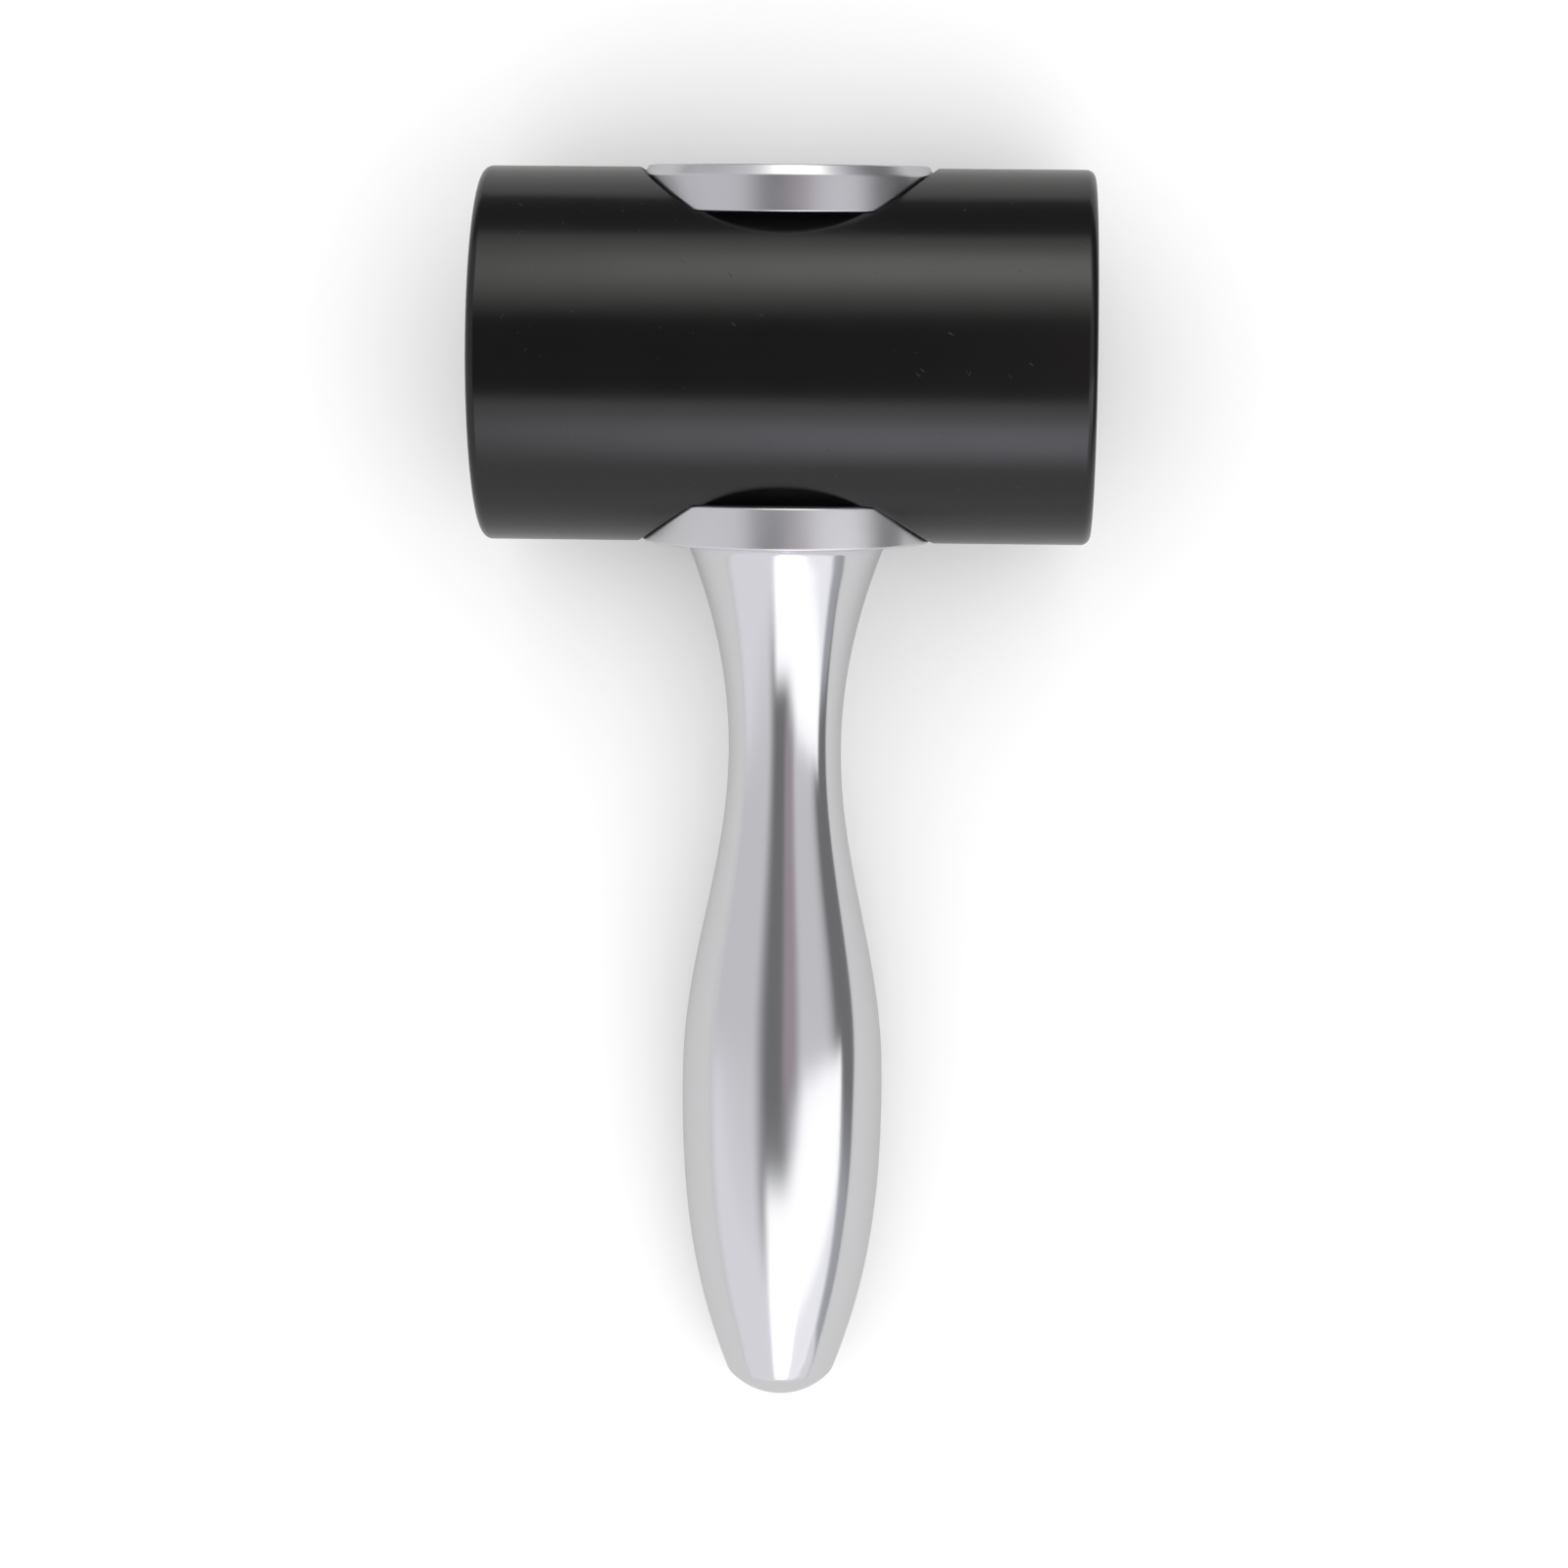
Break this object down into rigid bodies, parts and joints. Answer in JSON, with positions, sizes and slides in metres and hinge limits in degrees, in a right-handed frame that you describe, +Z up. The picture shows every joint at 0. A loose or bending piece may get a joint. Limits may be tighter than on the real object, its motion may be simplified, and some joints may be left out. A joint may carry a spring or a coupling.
{
  "type": "leathercraft mallet",
  "caption": "Mallet with a cylindrical nylon head clamped between a metal disc and the flange of a waisted, polished metal handle.",
  "frame": {"origin": "middle of the resting mallet's bounding box, on the floor that it lies on", "axes": "+X along the head, +Y from the butt of the handle towards the top disc, +Z up; the handle's axis dips 6 degrees towards the butt"},
  "size_m": [0.098, 0.2034, 0.06],
  "materials": {
    "nylon": "turned black nylon, satin",
    "polished_metal": "turned and mirror polished",
    "faced_metal": "turned, lightly polished",
    "screw_steel": "bright machined steel",
    "spring_steel": "hardened spring steel"
  },
  "bodies": {
    "root": {"head": "nylon", "handle": "polished_metal", "top_disc": "faced_metal", "clamp_screw": "screw_steel", "spring_washer": "spring_steel"}
  },
  "joints": []
}
